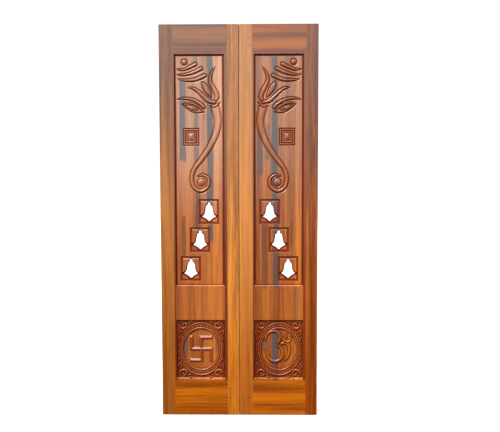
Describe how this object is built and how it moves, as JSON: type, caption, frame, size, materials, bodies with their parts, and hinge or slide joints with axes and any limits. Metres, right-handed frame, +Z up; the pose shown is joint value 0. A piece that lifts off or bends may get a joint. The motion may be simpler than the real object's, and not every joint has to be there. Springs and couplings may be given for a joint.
{
  "type": "carved double-leaf temple door with frame",
  "caption": "Tall narrow carved teak double door with bell-shaped windows and framed panels, hinged in front of a plain timber frame.",
  "frame": {"origin": "on the floor, in the middle of the whole door's width and depth", "axes": "+Z up, +X to the right seen from the carved side, which faces -Y"},
  "size_m": [0.825, 0.128, 2.059],
  "materials": {
    "leaf_teak": "glossy varnish over straight-grained teak",
    "carved_teak": "glossy varnish over carved, striped teak",
    "peg_hardwood": "varnished end grain",
    "frame_teak": "varnished plain teak",
    "hinge_brass": "satin brass",
    "pin_steel": "drawn steel rod"
  },
  "bodies": {
    "frame": {"frame_left_jamb": "frame_teak", "frame_right_jamb": "frame_teak", "frame_head": "frame_teak", "frame_sill": "frame_teak", "left_bottom_hinge_frame_plate": "hinge_brass", "left_bottom_hinge_pin": "pin_steel", "left_middle_hinge_frame_plate": "hinge_brass", "left_middle_hinge_pin": "pin_steel", "left_top_hinge_frame_plate": "hinge_brass", "left_top_hinge_pin": "pin_steel", "right_bottom_hinge_frame_plate": "hinge_brass", "right_bottom_hinge_pin": "pin_steel", "right_middle_hinge_frame_plate": "hinge_brass", "right_middle_hinge_pin": "pin_steel", "right_top_hinge_frame_plate": "hinge_brass", "right_top_hinge_pin": "pin_steel"},
    "left_leaf": {"left_leaf_hinge_stile": "leaf_teak", "left_leaf_meeting_stile": "leaf_teak", "left_leaf_top_rail": "leaf_teak", "left_leaf_bottom_rail": "leaf_teak", "left_leaf_carved_board": "carved_teak", "left_leaf_joint_pegs": "peg_hardwood", "left_bottom_hinge_leaf_plate": "hinge_brass", "left_middle_hinge_leaf_plate": "hinge_brass", "left_top_hinge_leaf_plate": "hinge_brass"},
    "right_leaf": {"right_leaf_hinge_stile": "leaf_teak", "right_leaf_meeting_stile": "leaf_teak", "right_leaf_top_rail": "leaf_teak", "right_leaf_bottom_rail": "leaf_teak", "right_leaf_carved_board": "carved_teak", "right_leaf_joint_pegs": "peg_hardwood", "right_bottom_hinge_leaf_plate": "hinge_brass", "right_middle_hinge_leaf_plate": "hinge_brass", "right_top_hinge_leaf_plate": "hinge_brass"}
  },
  "joints": [
    {"name": "left_leaf_swing", "type": "hinge", "parent": "frame", "child": "left_leaf", "pos_m": [-0.4045, -0.0275, 1.0275], "axis": [0, 0, -1], "range_deg": [0, 90]},
    {"name": "right_leaf_swing", "type": "hinge", "parent": "frame", "child": "right_leaf", "pos_m": [0.4045, -0.0275, 1.0275], "axis": [0, 0, 1], "range_deg": [0, 90]}
  ]
}
